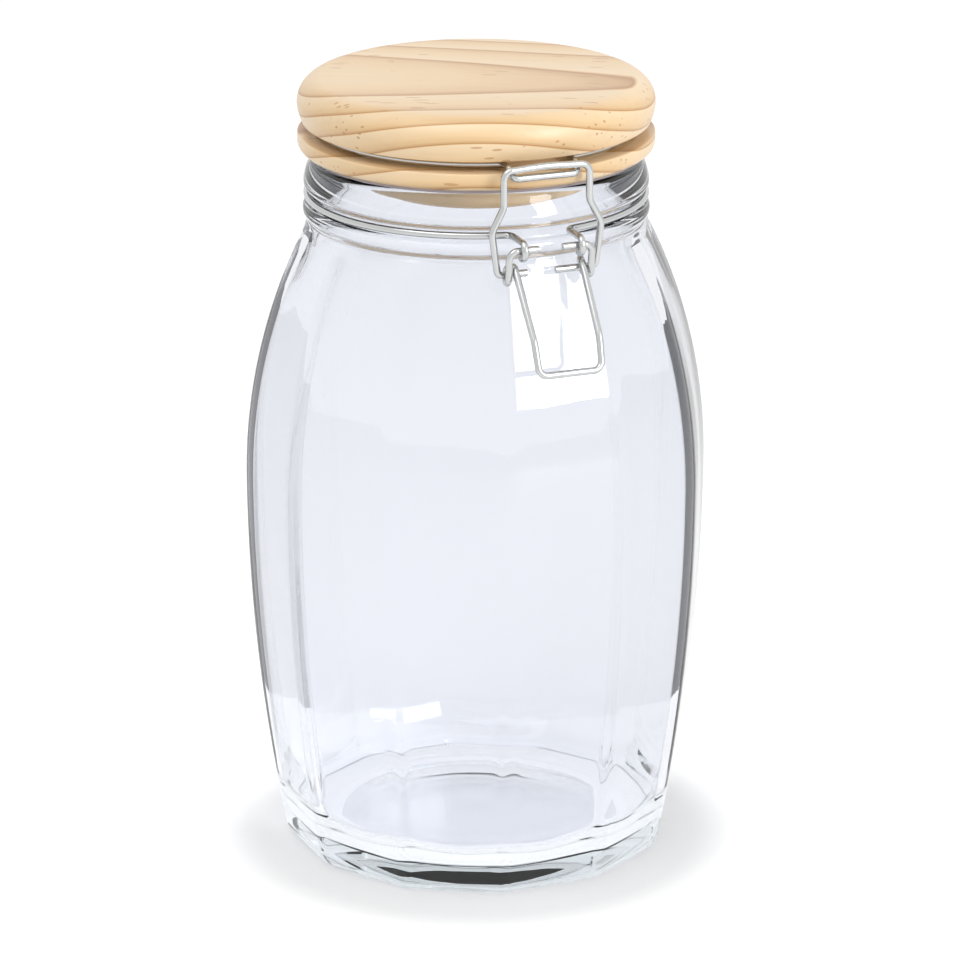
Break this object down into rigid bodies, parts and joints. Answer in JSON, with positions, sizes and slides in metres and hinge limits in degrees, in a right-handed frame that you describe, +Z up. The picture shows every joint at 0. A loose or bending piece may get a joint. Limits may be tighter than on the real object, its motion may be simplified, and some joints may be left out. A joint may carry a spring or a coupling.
{
  "type": "clip-top jar",
  "caption": "Faceted round glass storage jar with a turned wooden lid on a rubber ring, a bent-wire rear hinge and a wire bail with throw-over lever in front",
  "frame": {"origin": "centre of the base on the jar's axis, at the height it stands on", "axes": "+Z up along the jar's axis, -Y to the clasp, +Y to the hinge, +X to the right of someone facing the clasp"},
  "size_m": [0.1312, 0.1379, 0.2281],
  "materials": {
    "glass": "clear, polished",
    "wood": "pale pine, oiled, low gloss",
    "rubber": "grey, matt",
    "wire": "bright plated steel wire"
  },
  "bodies": {
    "jar": {"glass_jar": "glass", "collar_wire": "wire"},
    "lid": {"lid_wood": "wood", "gasket": "rubber", "lid_wire": "wire"},
    "lever": {"lever": "wire"},
    "bail": {"bail": "wire"}
  },
  "joints": [
    {"name": "lid_hinge", "type": "hinge", "parent": "jar", "child": "lid", "pos_m": [0, 0.0565, 0.1946], "axis": [-1, 0, 0], "range_deg": [0, 170]},
    {"name": "lever_swing", "type": "hinge", "parent": "jar", "child": "lever", "pos_m": [0, -0.0564, 0.19235], "axis": [-1, 0, 0], "range_deg": [0, 95]},
    {"name": "bail_swing", "type": "hinge", "parent": "lever", "child": "bail", "pos_m": [0, -0.0532, 0.185], "axis": [-1, 0, 0], "range_deg": [-114, 0]}
  ],
  "couplings": [
    {"joint": "bail_swing", "follows": "lever_swing", "ratio": -1.2}
  ]
}
